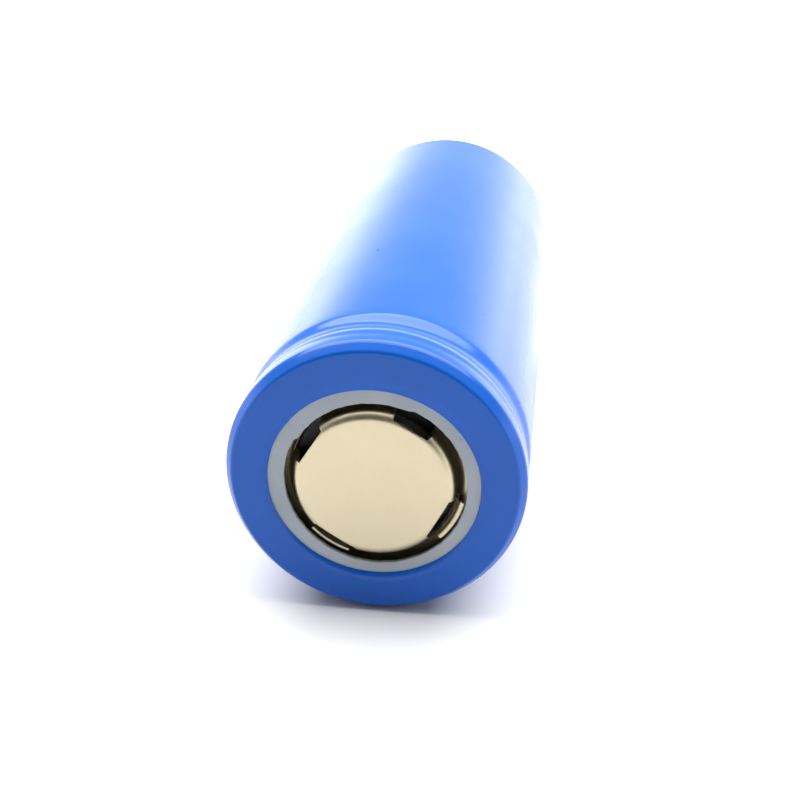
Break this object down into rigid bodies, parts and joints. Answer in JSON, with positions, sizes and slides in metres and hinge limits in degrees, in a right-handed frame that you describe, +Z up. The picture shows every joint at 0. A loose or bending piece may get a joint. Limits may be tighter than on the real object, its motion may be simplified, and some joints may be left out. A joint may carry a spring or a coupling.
{
  "type": "cylindrical battery cell",
  "caption": "Rechargeable cylindrical cell lying on its side: sleeved steel can with a crimped, vented cap, and wound electrode sheets inside.",
  "frame": {"origin": "on the floor, under the middle of the cell, which lies on its side", "axes": "Y along the cell axis, with the positive terminal towards -Y and the negative one towards +Y; +Z up"},
  "size_m": [0.0262, 0.0654, 0.0262],
  "materials": {
    "sleeve_film": "glossy heat-shrunk PVC film",
    "washer_board": "pale grey pressed insulating board",
    "nickelled_steel": "drawn, nickel plated, satin",
    "cap_nickel": "warm satin nickel plate",
    "pin_steel": "plain rolled strip",
    "gasket_plastic": "natural polypropylene",
    "spacer_plastic": "natural polypropylene",
    "ptc_composite": "carbon filled polymer",
    "vent_aluminium": "pressed, semi-bright",
    "tab_aluminium": "rolled strip, bright",
    "tab_nickel": "rolled nickel strip",
    "amber_tape": "clear amber film with adhesive",
    "green_tape": "thin coloured film with adhesive",
    "disc_plastic": "thin white film",
    "separator_film": "microporous white film",
    "cathode_coat": "dark grey coat on aluminium foil",
    "anode_coat": "graphite coat on copper foil"
  },
  "bodies": {
    "root": {"shrink_wrap": "sleeve_film", "top_washer": "washer_board", "can": "nickelled_steel", "seal_gasket": "gasket_plastic", "positive_cap": "cap_nickel", "ptc_disc": "ptc_composite", "vent_disc": "vent_aluminium", "disconnect_spacer": "spacer_plastic", "contact_plate": "vent_aluminium", "positive_tab": "tab_aluminium", "positive_tab_tape": "amber_tape", "upper_insulator": "disc_plastic", "inner_separator": "separator_film", "cathode_sheet": "cathode_coat", "outer_separator": "separator_film", "anode_sheet": "anode_coat", "closing_tape": "green_tape", "core_pin": "pin_steel", "lower_insulator": "disc_plastic", "negative_tab": "tab_nickel", "negative_tab_tape": "amber_tape"}
  },
  "joints": []
}
